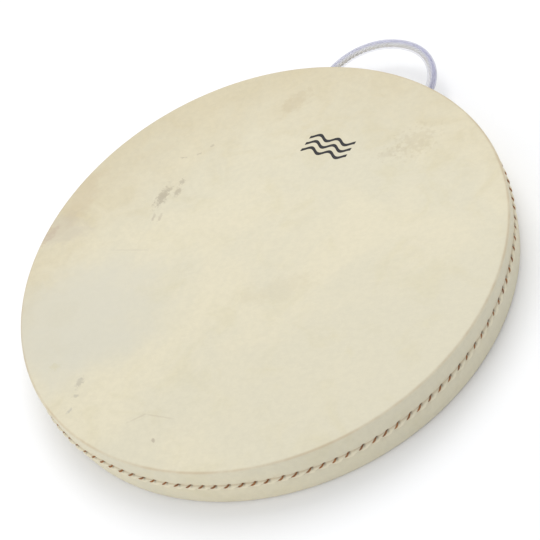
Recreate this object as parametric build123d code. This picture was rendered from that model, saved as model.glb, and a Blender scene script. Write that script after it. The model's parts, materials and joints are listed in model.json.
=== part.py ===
from build123d import *
from math import asin, cos, degrees, pi, radians, sin, sqrt, tan
import os

# A flat round drum: two hide heads drawn over a bentwood hoop and sewn to each other.
# Millimetres, +Z up. The drum lies on its rear head. The origin is the middle of that
# head's face, the front head faces +Z, and the carrying loop stands out at +Y.

# ---- Drum body ----
drum_diameter = 500.0  # over the skins, above and below the seam
drum_depth = 52.0  # over both heads
skin_thickness = 1.0
hoop_wall = 8.0
hoop_edge_round = 2.5  # the bearing edges that the skins are drawn over
hoop_inner_chamfer = 1.0

# ---- Scarf joint of the hoop ----
scarf_azimuth = -90.0
scarf_length = 50.0
scarf_nib = 1.2  # blunt ends, so that the strip doesn't taper to nothing
glue_line = 0.2
tack_shank = 1.6
tack_head = 5.0
tack_head_depth = 1.2
tack_sink = 0.1  # a tack's ends lie this much inside the hoop's curved faces
tack_spacing_round = 16.0
tack_spacing_up = 26.0

# ---- Seam ----
seam_height = 31.5  # above the rear head's face
lip_proud = 2.4  # how far the turned-up edges stand out of the wall
lip_depth = 5.0  # height of each turned-up edge
lip_edge = 0.8  # height of each edge's blunt rim
stitch_count = 130
thread_diameter = 1.6
thread_clearance = 0.05
stitch_run = 7.0  # along the seam
stitch_rise = 5.0  # across the seam
stitch_bite = 2.2  # how deep a stitch's two legs go into the turned-up edges
finish_knot_azimuth = 218.0
finish_knot_length = 3.0
finish_knot_diameter = 2.6

# ---- Carrying loop ----
loop_span = 128.0  # between the two ends of the hose
loop_drop = 10.5  # of the cord's holes below the seam
loop_tilt = 12.0  # the loop leans towards the front head
hose_gap = 4.0  # bare cord between the skin and the hose
hose_diameter = 10.0
hose_bore = 7.4
cord_diameter = 5.0
cord_hole_clearance = 0.4
cord_break = 0.9  # each length of cord stops this far short of the swing axis
knot_diameter = 13.0
knot_length = 9.0
knot_round = 3.0
knot_clearance = 0.1

# The hose's middle line in the plane of the loop: sideways from the nearer end of the
# hose, and outwards from the swing axis.
loop_left = [(0.0, 0.0), (3.0, 14.0), (10.2, 29.0), (21.5, 43.5), (37.0, 54.5), (55.0, 61.5)]
loop_right = [(-50.0, 63.2), (-29.0, 58.2), (-12.5, 46.0), (-2.5, 30.0), (1.0, 15.0), (0.0, 0.0)]

# ---- Loose shot inside, in three rings that roll round the drum's axis ----
shot_diameter = 5.0
shot_clearance = 0.3
shot_ring_gap = 2.0  # between one ring's balls and the next ring's
shot_hub_radius = 20.0  # no ball lies nearer to the middle than this
shot_counts = {"shot_inner": 30, "shot_middle": 40, "shot_outer": 50}

# ---- Worked out from the sizes above ----
wall_radius = drum_diameter / 2
hoop_outer_radius = wall_radius - skin_thickness
hoop_inner_radius = hoop_outer_radius - hoop_wall
hoop_middle_radius = hoop_outer_radius - hoop_wall / 2
lip_radius = wall_radius + lip_proud
loop_height = seam_height - loop_drop
loop_radius = wall_radius + hose_gap
loop_half_angle = degrees(asin(loop_span / 2 / loop_radius))
loop_azimuths = {"left": 90.0 + loop_half_angle, "right": 90.0 - loop_half_angle}
swing_axis_y = loop_radius * cos(radians(loop_half_angle))
golden_angle = 180.0 * (3.0 - sqrt(5.0))


def polar(radius, azimuth, height):
    """The point at a radius, an azimuth in degrees and a height."""
    return Vector(radius * cos(radians(azimuth)), radius * sin(radians(azimuth)), height)


def radial_plane(radius, azimuth, height):
    """A plane across the radius at an azimuth, facing outwards."""
    return Plane(origin=polar(radius, azimuth, height), z_dir=polar(1, azimuth, 0))


def radial_rod(azimuth, height, start, end, diameter):
    """A round rod that lies along a radius, between two distances from the axis."""
    return radial_plane((start + end) / 2, azimuth, height) * Cylinder(diameter / 2, end - start)


def group(shapes):
    """Separate solids as one part."""
    return Compound(children=[solid for shape in shapes for solid in shape.solids()])


def build_head(skirt_depth):
    """A skin with its face at the bottom and its skirt drawn up to the seam."""
    fold_radius = hoop_edge_round + skin_thickness
    face_edge = wall_radius - fold_radius
    outline = Line((0, 0), (face_edge, 0))
    outline += CenterArc((face_edge, fold_radius), fold_radius, -90, 90)
    outline += Polyline(
        (wall_radius, fold_radius),
        (wall_radius, skirt_depth - lip_depth),
        (lip_radius, skirt_depth - lip_edge),
        (lip_radius, skirt_depth),
        (hoop_outer_radius, skirt_depth),
        (hoop_outer_radius, fold_radius),
    )
    outline += CenterArc((face_edge, fold_radius), hoop_edge_round, 0, -90)
    outline += Polyline((face_edge, skin_thickness), (0, skin_thickness), (0, 0))
    skin = revolve(Plane.XZ * make_face(outline), Axis.Z)
    return skin


def build_front_head():
    """The front skin: the same shape as the rear one, turned over."""
    return Pos(0, 0, drum_depth) * mirror(build_head(drum_depth - seam_height), Plane.XY)


def build_rear_head():
    """The rear skin, with the two holes that the loop's cord comes out of."""
    skin = build_head(seam_height)
    for azimuth in loop_azimuths.values():
        skin -= cord_hole(azimuth)
    return skin


def cord_hole(azimuth):
    """The hole for the cord through the hoop and the skin over it."""
    hole_diameter = cord_diameter + 2 * cord_hole_clearance
    inner_end = hoop_inner_radius - hoop_wall
    outer_end = wall_radius + hoop_wall
    return radial_rod(azimuth, loop_height, inner_end, outer_end, hole_diameter)


def build_hoop():
    """The bent strip: a ring with rounded bearing edges, open along its scarf."""
    strip = Pos(hoop_middle_radius, drum_depth / 2) * Rectangle(hoop_wall, drum_depth - 2 * skin_thickness)
    strip = chamfer(strip.vertices().sort_by(Axis.X)[:2], hoop_inner_chamfer)
    strip = fillet(strip.vertices().sort_by(Axis.X)[-2:], hoop_edge_round)
    ring = revolve(Plane.XZ * strip, Axis.Z)
    for azimuth in loop_azimuths.values():
        ring -= cord_hole(azimuth)
    return ring - build_scarf_cuts() - build_tack_holes()


def build_scarf_cuts():
    """The thin cuts between the strip's two ends: a slant with a blunt nib at each face."""
    half_turn = degrees(scarf_length / 2 / hoop_middle_radius)
    inner_azimuth, outer_azimuth = scarf_azimuth + half_turn, scarf_azimuth - half_turn
    inner_nib = polar(hoop_inner_radius + scarf_nib, inner_azimuth, drum_depth / 2)
    outer_nib = polar(hoop_outer_radius - scarf_nib, outer_azimuth, drum_depth / 2)
    inner_face = polar(hoop_inner_radius - hoop_wall, inner_azimuth, drum_depth / 2)
    outer_face = polar(wall_radius, outer_azimuth, drum_depth / 2)
    cuts = []
    for start, end in ((inner_face, inner_nib), (inner_nib, outer_nib), (outer_nib, outer_face)):
        cut_plane = Plane(origin=(start + end) / 2, x_dir=end - start, z_dir=(0, 0, 1))
        cuts.append(cut_plane * Box((end - start).length + glue_line, glue_line, drum_depth))
    return cuts


def tack_places():
    """The azimuth and the height of each tack."""
    turn = degrees(tack_spacing_round / hoop_middle_radius)
    sides = [(side, level) for side in (-0.5, 0.5) for level in (-0.5, 0.5)]
    return [(scarf_azimuth + side * turn, drum_depth / 2 + level * tack_spacing_up) for side, level in sides]


def build_tack(azimuth, height, point, face):
    """A countersunk tack along the radius, from its point to the middle of its flat face."""
    neck = hoop_outer_radius - tack_sink - tack_head_depth
    cone_end = neck + tack_head_depth
    cone = radial_plane((neck + cone_end) / 2, azimuth, height) * Cone(
        tack_shank / 2, tack_head / 2, tack_head_depth
    )
    tack = radial_rod(azimuth, height, point, neck, tack_shank) + cone
    if face > cone_end:
        tack += radial_rod(azimuth, height, cone_end, face, tack_head)
    return tack


def build_tacks():
    """Tacks through the scarf, with their heads just under the skin."""
    point = hoop_inner_radius + tack_sink
    face = hoop_outer_radius - tack_sink
    return group([build_tack(azimuth, height, point, face) for azimuth, height in tack_places()])


def build_tack_holes():
    """The tacks' holes, which run past both faces of the hoop."""
    point = hoop_inner_radius - hoop_wall
    return group([build_tack(azimuth, height, point, wall_radius) for azimuth, height in tack_places()])


def build_seam_thread():
    """The sewing: one slanting stitch, with a leg into each skin's edge, repeated round."""
    middle_radius = lip_radius + thread_clearance + thread_diameter / 2
    upper = Vector(middle_radius, stitch_run / 2, seam_height + stitch_rise / 2)
    lower = Vector(middle_radius, -stitch_run / 2, seam_height - stitch_rise / 2)
    bite = Vector(stitch_bite + thread_diameter / 2, 0, 0)
    stitch = Sphere(thread_diameter / 2).moved(Pos(upper)) + Sphere(thread_diameter / 2).moved(Pos(lower))
    for start, end in ((lower, upper), (upper - bite, upper), (lower - bite, lower)):
        run_plane = Plane(origin=(start + end) / 2, z_dir=end - start)
        stitch += run_plane * Cylinder(thread_diameter / 2, (end - start).length)
    turn = 360.0 / stitch_count
    return group([Rot(0, 0, number * turn) * stitch for number in range(stitch_count)])


def build_finish_knot():
    """The small knot that ends the sewing, in the gap between two stitches."""
    turn = 360.0 / stitch_count
    azimuth = (round(finish_knot_azimuth / turn) + 0.5) * turn
    middle = polar(lip_radius + thread_clearance + finish_knot_diameter / 2, azimuth, seam_height)
    along_seam = polar(1, azimuth + 90.0, 0)
    bead = Cylinder(finish_knot_diameter / 2, finish_knot_length)
    bead = fillet(bead.edges().filter_by(GeomType.CIRCLE), finish_knot_diameter / 4)
    return Plane(origin=middle, z_dir=along_seam) * bead


def loop_route(trim):
    """The points of the loop's middle line, each end cut short by the trim."""
    sideways = [offset - loop_span / 2 for offset, _ in loop_left]
    sideways += [offset + loop_span / 2 for offset, _ in loop_right]
    outwards = [out for _, out in loop_left + loop_right]
    rise, reach = sin(radians(loop_tilt)), cos(radians(loop_tilt))
    points = [
        Vector(across, swing_axis_y + out * reach, loop_height + out * rise)
        for across, out in zip(sideways, outwards)
    ]
    points[0] += (points[1] - points[0]).normalized() * trim
    points[-1] += (points[-2] - points[-1]).normalized() * trim
    return points


def route_radii(points):
    """The tangent arc at each corner: as large as its two runs allow."""
    radii = []
    for before, corner, after in zip(points, points[1:], points[2:]):
        run_in, run_out = corner - before, after - corner
        half_turn = radians(run_in.get_angle(run_out)) / 2
        radii.append(0.45 * min(run_in.length, run_out.length) / tan(half_turn))
    return radii


def build_loop(name, section, area, trim):
    """A section carried along the loop, with its arcs and its volume reported."""
    points = loop_route(trim)
    radii = route_radii(points)
    path = FilletPolyline(*points, radius=radii)
    tube = sweep(Plane(origin=path @ 0, z_dir=path % 0) * section, path)
    print(name, "arc radii", [round(radius, 1) for radius in radii])
    print(name, "length", round(path.length, 1), "volume ratio", round(tube.volume / (area * path.length), 4))
    return tube


def build_hose():
    """The clear hose that makes the loop a comfortable grip."""
    section = Circle(hose_diameter / 2) - Circle(hose_bore / 2)
    area = pi * (hose_diameter**2 - hose_bore**2) / 4
    return build_loop("handle_hose", section, area, 0.0)


def build_loop_cord():
    """The cord inside the hose."""
    return build_loop("handle_cord", Circle(cord_diameter / 2), pi * cord_diameter**2 / 4, cord_break)


def build_cord_end(azimuth):
    """The cord from its knot through the hoop and the skin to the hose."""
    inner_end = hoop_inner_radius - knot_clearance
    return radial_rod(azimuth, loop_height, inner_end, loop_radius - cord_break, cord_diameter)


def build_cord_knot(azimuth):
    """The stopper knot that bears on the inside of the hoop."""
    outer_end = hoop_inner_radius - knot_clearance
    knot = Cylinder(knot_diameter / 2, knot_length)
    knot = fillet(knot.edges().filter_by(GeomType.CIRCLE), knot_round)
    return radial_plane(outer_end - knot_length / 2, azimuth, loop_height) * knot


def build_shot(count, ring_inner, ring_outer):
    """Balls on the rear skin, spread over a ring by equal turns and equal shares of area."""
    ball = Sphere(shot_diameter / 2)
    height = skin_thickness + shot_clearance + shot_diameter / 2
    near, far = ring_inner + shot_diameter / 2, ring_outer - shot_diameter / 2
    balls = []
    for number in range(count):
        share = (number + 0.5) / count
        radius = sqrt(near**2 + share * (far**2 - near**2))
        balls.append(Pos(polar(radius, number * golden_angle, height)) * ball)
    return group(balls)


def build_all_shot():
    """The rings of shot, each as wide as its number of balls needs."""
    rings = {}
    reach = hoop_inner_radius - shot_ring_gap
    total = sum(shot_counts.values())
    inner, placed = shot_hub_radius, 0
    for name, count in shot_counts.items():
        placed += count
        outer = sqrt(shot_hub_radius**2 + placed / total * (reach**2 - shot_hub_radius**2))
        rings[name] = build_shot(count, inner, outer - shot_ring_gap / 2)
        inner = outer + shot_ring_gap / 2
    return rings


def build_nodes():
    """Every piece of the drum by its name."""
    nodes = {
        "hoop": build_hoop(),
        "scarf_tacks": build_tacks(),
        "front_head": build_front_head(),
        "rear_head": build_rear_head(),
        "seam_thread": build_seam_thread(),
        "seam_finish_knot": build_finish_knot(),
        "handle_hose": build_hose(),
        "handle_cord": build_loop_cord(),
    }
    for side, azimuth in loop_azimuths.items():
        nodes["cord_end_" + side] = build_cord_end(azimuth)
        nodes["cord_knot_" + side] = build_cord_knot(azimuth)
    nodes.update(build_all_shot())
    return nodes


os.makedirs("parts", exist_ok=True)
for node, shape in build_nodes().items():
    export_step(shape, "parts/" + node + ".step")
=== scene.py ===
"""The looks of a double-headed frame drum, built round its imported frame. Metres, +Z up."""

import json
import logging
from dataclasses import dataclass, field
from enum import Enum
from math import atan2, cos, pi, radians, sin

import bpy
import numpy as np
from mathutils import Matrix, Vector


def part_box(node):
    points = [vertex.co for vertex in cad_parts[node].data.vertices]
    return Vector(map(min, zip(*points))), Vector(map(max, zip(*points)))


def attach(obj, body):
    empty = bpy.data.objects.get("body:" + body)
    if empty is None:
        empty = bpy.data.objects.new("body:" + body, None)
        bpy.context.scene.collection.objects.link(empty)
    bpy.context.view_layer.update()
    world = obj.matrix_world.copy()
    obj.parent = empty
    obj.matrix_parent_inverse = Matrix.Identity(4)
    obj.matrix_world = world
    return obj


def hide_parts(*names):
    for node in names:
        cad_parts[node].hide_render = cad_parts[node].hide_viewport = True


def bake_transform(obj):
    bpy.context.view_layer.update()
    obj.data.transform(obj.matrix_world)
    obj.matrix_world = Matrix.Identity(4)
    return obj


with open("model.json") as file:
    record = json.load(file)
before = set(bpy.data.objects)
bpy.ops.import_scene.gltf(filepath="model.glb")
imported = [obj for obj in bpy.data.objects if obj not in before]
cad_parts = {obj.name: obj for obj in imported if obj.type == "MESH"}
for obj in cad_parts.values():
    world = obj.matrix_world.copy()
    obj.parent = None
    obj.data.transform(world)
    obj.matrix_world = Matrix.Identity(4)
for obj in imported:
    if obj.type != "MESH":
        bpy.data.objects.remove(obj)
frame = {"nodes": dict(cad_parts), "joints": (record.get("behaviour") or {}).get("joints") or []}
log = logging.getLogger("drum")

Array = np.ndarray
Colour = tuple[float, float, float]
Point = tuple[float, float, float]
Socket = bpy.types.NodeSocket
Piece = bpy.types.Object
TURN = 2.0 * pi


# ---------------------------------------------------------------- shared shape work


def smooth(values: Array, low: float, high: float) -> Array:
    """Zero below low, one above high, and an S-shaped rise between them."""
    share = np.clip((values - low) / (high - low), 0.0, 1.0)
    return share * share * (3.0 - 2.0 * share)


def unit(vectors: Array) -> Array:
    """The same directions at length one."""
    return vectors / np.linalg.norm(vectors, axis=-1, keepdims=True)


def on_cylinder(azimuth: Array, radius: Array, height: Array) -> Array:
    """Points at an angle, a distance from the drum's axis and a height."""
    azimuth, radius, height = np.broadcast_arrays(azimuth, radius, height)
    return np.stack([radius * np.cos(azimuth), radius * np.sin(azimuth), height], axis=-1)


class MeshDraft:
    """A closed mesh gathered from whole arrays of points and faces."""

    def __init__(self) -> None:
        """Starts with nothing in it."""
        self.points: list[Array] = []
        self.faces: list[Array] = []
        self.maps: list[Array] = []
        self.fields: dict[str, list[Array]] = {}
        self.count = 0

    def add(self, points: Array, **fields: Array) -> Array:
        """Adds points with their painted fields.

        Args:
            points: Places, with x, y and z in the last direction of the array.
            fields: One number for each point, by the field's name.

        Returns:
            The points' numbers, in the shape of the array.
        """
        shape = points.shape[:-1]
        numbers = np.arange(self.count, self.count + int(np.prod(shape))).reshape(shape)
        self.points.append(points.reshape(-1, 3))
        self.count += numbers.size
        for name, values in fields.items():
            self.fields.setdefault(name, []).append(np.broadcast_to(values, shape).ravel())
        return numbers

    def cover(self, numbers: Array, lengths: Array, joined: bool = False) -> None:
        """Covers a grid with four-cornered faces. The grid closes round its columns.

        Args:
            numbers: The grid's point numbers: rows along the piece, columns round it.
            lengths: The distance along the piece of each row, for its map.
            joined: Whether the last row also meets the first.
        """
        rows, columns = numbers.shape
        first = np.arange(rows if joined else rows - 1)
        second = (first + 1) % rows
        near, far = np.arange(columns), (np.arange(columns) + 1) % columns
        corners = [(first, near), (first, far), (second, far), (second, near)]
        faces = np.stack([numbers[np.ix_(row, column)] for row, column in corners], axis=-1)
        left = np.broadcast_to(near / columns, (len(first), columns))
        here = np.broadcast_to(lengths[first][:, None], left.shape)
        there = np.broadcast_to(lengths[second][:, None], left.shape)
        right = left + 1.0 / columns
        spread = [(here, left), (here, right), (there, right), (there, left)]
        self.faces.append(faces.reshape(-1, 4))
        self.maps.append(np.stack([np.stack(pair, axis=-1) for pair in spread], axis=2).reshape(-1, 2))

    def bridge(self, near: Array, far: Array) -> None:
        """Joins two rings of points. One may have twice the other's points, or be a single pole.

        Args:
            near: Point numbers of the first ring.
            far: Point numbers of the next ring.
        """
        near_next, far_next = np.roll(near, -1), np.roll(far, -1)
        if len(far) == 1:
            faces = [(near, near_next, np.full_like(near, far[0]))]
        elif len(near) == 1:
            faces = [(np.full_like(far, near[0]), far_next, far)]
        elif len(far) == len(near):
            faces = [(near, near_next, far_next), (near, far_next, far)]
        elif len(far) == 2 * len(near):
            start, middle, end = far[0::2], far[1::2], np.roll(far[0::2], -1)
            faces = [(near, near_next, middle), (near, middle, start), (near_next, end, middle)]
        else:
            start, middle, end = near[0::2], near[1::2], np.roll(near[0::2], -1)
            faces = [(start, middle, far), (middle, far_next, far), (middle, end, far_next)]
        self.faces.extend(np.stack(corners, axis=-1) for corners in faces)

    def cap(self, ring: Array, pole: Array, at_start: bool) -> None:
        """Closes one end of a grid with a fan.

        Args:
            ring: Point numbers of the grid's end row.
            pole: The number of the point in the middle of the end, in an array of one.
            at_start: Whether this is the first row and not the last.
        """
        self.bridge(*((pole, ring) if at_start else (ring, pole)))
        self.maps.append(np.zeros((3 * len(ring), 2)))

    def build(self, name: str) -> Piece:
        """Makes the object. The faces are turned over if they would enclose less than nothing.

        Args:
            name: The piece's name.

        Returns:
            The new object, linked to the scene.
        """
        points = np.concatenate(self.points)
        flip = self.volume(points) < 0.0
        faces = [corners[:, ::-1] if flip else corners for corners in self.faces]
        mesh = bpy.data.meshes.new(name)
        mesh.from_pydata(points.tolist(), [], [corners for group in faces for corners in group.tolist()])
        for title, parts in self.fields.items():
            attribute = mesh.attributes.new(title, "FLOAT", "POINT")
            attribute.data.foreach_set("value", np.concatenate(parts).astype(np.float32))
        if self.maps:
            maps = [self.turned(part, group, flip) for part, group in zip(self.maps, faces)]
            layer = mesh.uv_layers.new(name="along_and_round")
            layer.data.foreach_set("uv", np.concatenate(maps).astype(np.float32).ravel())
        mesh.shade_smooth()
        mesh.update()
        piece = bpy.data.objects.new(name, mesh)
        bpy.context.scene.collection.objects.link(piece)
        return piece

    def volume(self, points: Array) -> float:
        """The space enclosed: a sixth of the triple product of each triangle's corners, added up."""
        total = 0.0
        for corners in self.faces:
            for last in range(2, corners.shape[1]):
                a, b, c = points[corners[:, 0]], points[corners[:, last - 1]], points[corners[:, last]]
                total += float(np.einsum("ij,ij->", a, np.cross(b, c))) / 6.0
        return total

    @staticmethod
    def turned(part: Array, group: Array, flip: bool) -> Array:
        """The map of a group of faces, its corners in the faces' own order."""
        corners = part.reshape(len(group), group.shape[1], 2)
        return (corners[:, ::-1] if flip else corners).reshape(-1, 2)


@dataclass
class Track:
    """A line through space with a pair of directions across it at each point."""

    points: Array
    across: Array
    upwards: Array
    ahead: Array

    @classmethod
    def along(cls, points: Array, reference: Point = (0.0, 0.0, 1.0)) -> "Track":
        """A track whose upward direction stays as near as it can to one reference.

        Args:
            points: The line's points in order.
            reference: The direction that stays up.

        Returns:
            The track.
        """
        ahead = unit(np.gradient(points, axis=0))
        across = unit(np.cross(ahead, np.array(reference)))
        return cls(points, across, np.cross(across, ahead), ahead)

    @property
    def lengths(self) -> Array:
        """The distance along the line of each point."""
        steps = np.linalg.norm(np.diff(self.points, axis=0), axis=1)
        return np.concatenate([[0.0], np.cumsum(steps)])

    def ring(self, angle: Array, radius: Array) -> Array:
        """Points at an angle round the line: its point, plus the radius along the turned direction."""
        sideways = np.cos(angle)[..., None] * self.across + np.sin(angle)[..., None] * self.upwards
        return self.points + np.asarray(radius)[..., None] * sideways


def three_lobes(turn: Array, size: float, second: float, reach: float) -> tuple[Array, Array]:
    """The two directions of a three-lobed knot line: sin t + k sin 2t and cos t - k cos 2t, over a reach.

    Args:
        turn: Angles t along the line, from nothing to a full turn.
        size: The size of the lobes.
        second: The strength k of the doubled angle.
        reach: What the sums are divided by.

    Returns:
        The places along the first direction and along the second.
    """
    first = size * (np.sin(turn) + second * np.sin(2.0 * turn)) / reach
    return first, size * (np.cos(turn) - second * np.cos(2.0 * turn)) / reach


def add_tube(draft: MeshDraft, track: Track, radius: Array, sides: int) -> None:
    """Adds a round tube with domed ends: a circle of the given radius carried along the track.

    Args:
        draft: The mesh that it goes into.
        track: The tube's middle line.
        radius: One radius for each point of the track.
        sides: How many points stand round the tube.
    """
    angles = np.arange(sides) / sides * TURN
    rings = np.stack([track.ring(np.full(len(track.points), angle), radius) for angle in angles], axis=1)
    numbers = draft.add(rings)
    draft.cover(numbers, track.lengths)
    for end, row, sign in ((0, numbers[0], -1.0), (-1, numbers[-1], 1.0)):
        tip = track.points[end] + sign * 0.4 * radius[end] * track.ahead[end]
        draft.cap(row, draft.add(tip[None, :]), at_start=end == 0)


def spline_points(name: str, controls: Array, steps: int) -> Array:
    """The points of a smooth spline that has the route's points as its control points.

    Args:
        name: A name for the curve, which isn't kept.
        controls: The route's points.
        steps: How finely each stretch is divided.

    Returns:
        The points along the spline.
    """
    curve = bpy.data.curves.new(name, "CURVE")
    curve.dimensions = "3D"
    spline = curve.splines.new("NURBS")
    spline.points.add(len(controls) - 1)
    spline.points.foreach_set("co", np.column_stack([controls, np.ones(len(controls))]).ravel())
    spline.order_u = 3
    spline.use_endpoint_u = True
    spline.resolution_u = steps
    holder = bpy.data.objects.new(name, curve)
    mesh = bpy.data.meshes.new_from_object(holder)
    points = np.empty(3 * len(mesh.vertices))
    mesh.vertices.foreach_get("co", points)
    bpy.data.meshes.remove(mesh)
    bpy.data.objects.remove(holder)
    bpy.data.curves.remove(curve)
    return points.reshape(-1, 3)


# ---------------------------------------------------------------- finishes


class Blend(Enum):
    """How one colour is laid on another."""

    OVER = "MIX"
    STAIN = "MULTIPLY"


class Finish:
    """A material under construction, with short calls for the nodes that the finishes share."""

    def __init__(self, name: str) -> None:
        """Starts a material with its shader and object coordinates.

        Args:
            name: The material's name.
        """
        self.material = bpy.data.materials.new(name)
        self.material.use_nodes = True
        self.tree = self.material.node_tree
        self.shader = self.tree.nodes["Principled BSDF"]
        self.place = self.add("ShaderNodeTexCoord").outputs["Object"]

    def add(self, kind: str, **settings: object) -> bpy.types.Node:
        """Adds a node with some of its settings."""
        node = self.tree.nodes.new(kind)
        for name, value in settings.items():
            setattr(node, name, value)
        return node

    def feed(self, socket: Socket, value: object) -> None:
        """Links a socket to another's output, or sets it to a plain value."""
        if isinstance(value, bpy.types.NodeSocket):
            self.tree.links.new(value, socket)
        else:
            socket.default_value = (*value, 1.0) if socket.type == "RGBA" else value

    def maths(self, operation: str, *values: object) -> Socket:
        """One arithmetic step."""
        node = self.add("ShaderNodeMath", operation=operation)
        for socket, value in zip(node.inputs, values):
            self.feed(socket, value)
        return node.outputs[0]

    def noise(self, scale: float, detail: float = 4.0, rough: float = 0.55, warp: float = 0.0,
              where: Socket | None = None) -> Socket:
        """Cloudy noise from 0 to 1.

        Args:
            scale: Clouds to the metre.
            detail: How many finer layers are added.
            rough: How strong the finer layers are.
            warp: How far the clouds are pulled out of shape.
            where: The coordinates, or the object's own.

        Returns:
            The noise's value.
        """
        node = self.add("ShaderNodeTexNoise")
        self.feed(node.inputs["Vector"], where or self.place)
        settings = {"Scale": scale, "Detail": detail, "Roughness": rough, "Distortion": warp}
        for name, value in settings.items():
            node.inputs[name].default_value = value
        return node.outputs[0]

    def moved(self, centre: Point, size: Point, turn: float = 0.0) -> Socket:
        """Object coordinates measured from a centre, turned, and in units of a size."""
        node = self.add("ShaderNodeMapping", vector_type="TEXTURE")
        self.feed(node.inputs["Vector"], self.place)
        node.inputs["Location"].default_value = centre
        node.inputs["Rotation"].default_value = (0.0, 0.0, turn)
        node.inputs["Scale"].default_value = size
        return node.outputs[0]

    def measure(self, operation: str, *values: object) -> Socket:
        """A length or distance of vectors."""
        node = self.add("ShaderNodeVectorMath", operation=operation)
        for socket, value in zip(node.inputs, values):
            self.feed(socket, value)
        return node.outputs["Value"]

    def split(self, vector: Socket) -> tuple[Socket, Socket, Socket]:
        """The three parts of a vector."""
        node = self.add("ShaderNodeSeparateXYZ")
        self.feed(node.inputs[0], vector)
        return node.outputs[0], node.outputs[1], node.outputs[2]

    def join(self, x: object, y: object, z: object) -> Socket:
        """A vector from three parts."""
        node = self.add("ShaderNodeCombineXYZ")
        for socket, value in zip(node.inputs, (x, y, z)):
            self.feed(socket, value)
        return node.outputs[0]

    def between(self, value: Socket, low: float, high: float, start: float = 0.0, end: float = 1.0) -> Socket:
        """A smooth rise from start to end as the value goes from low to high."""
        node = self.add("ShaderNodeMapRange", interpolation_type="SMOOTHSTEP")
        for name, given in (("Value", value), ("From Min", low), ("From Max", high),
                            ("To Min", start), ("To Max", end)):
            self.feed(node.inputs[name], given)
        return node.outputs[0]

    def mix(self, factor: object, under: object, over: object, blend: Blend = Blend.OVER) -> Socket:
        """One colour laid on another by a factor."""
        node = self.add("ShaderNodeMix", data_type="RGBA", blend_type=blend.value)
        for number, value in ((0, factor), (6, under), (7, over)):
            self.feed(node.inputs[number], value)
        return node.outputs[2]

    def painted(self, name: str) -> Socket:
        """A field that the piece's own points carry."""
        return self.add("ShaderNodeAttribute", attribute_name=name).outputs["Fac"]

    def mapped(self) -> tuple[Socket, Socket]:
        """The piece's own map: the distance along it, and the share of a turn round it."""
        node = self.add("ShaderNodeUVMap", uv_map="along_and_round")
        along, around, _ = self.split(node.outputs[0])
        return along, around

    def bump(self, height: Socket, strength: float, distance: float, under: Socket | None = None) -> Socket:
        """Fine relief, on top of other relief if there is any."""
        node = self.add("ShaderNodeBump")
        node.inputs["Strength"].default_value = strength
        node.inputs["Distance"].default_value = distance
        self.feed(node.inputs["Height"], height)
        if under is not None:
            self.feed(node.inputs["Normal"], under)
        return node.outputs[0]

    def finish(self, colour: object, roughness: object, normal: Socket | None = None,
               **sockets: float) -> bpy.types.Material:
        """Feeds the shader.

        Args:
            colour: The base colour.
            roughness: A number or a socket.
            normal: The relief, if any.
            sockets: Uniform values of other sockets, with underscores for spaces.

        Returns:
            The finished material.
        """
        self.feed(self.shader.inputs["Base Color"], colour)
        self.feed(self.shader.inputs["Roughness"], roughness)
        if normal is not None:
            self.feed(self.shader.inputs["Normal"], normal)
        for name, value in sockets.items():
            self.shader.inputs[name.replace("_", " ")].default_value = value
        return self.material


@dataclass(frozen=True)
class Stain:
    """A mark on the hide: an ellipse with ragged edges."""

    centre: tuple[float, float]
    size: tuple[float, float]
    turn: float
    colour: Colour
    strength: float
    ragged: float = 0.6
    grain: float = 120.0


@dataclass(frozen=True)
class WaveMark:
    """A plain printed sign of three waves, one over another."""

    level: float
    centre: tuple[float, float] = (0.013, 0.137)
    turn: float = radians(-3.0)
    width: float = 0.053
    wave: float = 0.022
    swing: float = 0.0028
    spacing: float = 0.009
    lines: int = 3
    line: float = 0.0036
    soft_edge: float = 0.0003

    def ink(self, hide: Finish) -> Socket:
        """Where the ink is: near the middle of each strip of a stack that a sine bends.

        Args:
            hide: The finish that it is printed on.

        Returns:
            One on the lines and zero elsewhere.
        """
        across, up, _ = hide.split(hide.moved((*self.centre, self.level), (1.0, 1.0, 1.0), self.turn))
        sine = hide.maths("SINE", hide.maths("MULTIPLY", across, TURN / self.wave))
        bend = hide.maths("MULTIPLY", sine, self.swing)
        half = self.lines * self.spacing / 2.0
        height = hide.maths("ADD", hide.maths("SUBTRACT", up, bend), half)
        strip = hide.maths("SUBTRACT", hide.maths("MODULO", height, self.spacing), self.spacing / 2.0)
        edge = self.line / 2.0
        ink = hide.between(hide.maths("ABSOLUTE", strip), edge, edge + self.soft_edge, 1.0, 0.0)
        from_middle = hide.maths("ABSOLUTE", hide.maths("SUBTRACT", height, half))
        inside = hide.maths("LESS_THAN", from_middle, half)
        beside = hide.maths("LESS_THAN", hide.maths("ABSOLUTE", across), self.width / 2.0)
        return hide.maths("MULTIPLY", hide.maths("MULTIPLY", ink, inside), beside)


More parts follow.
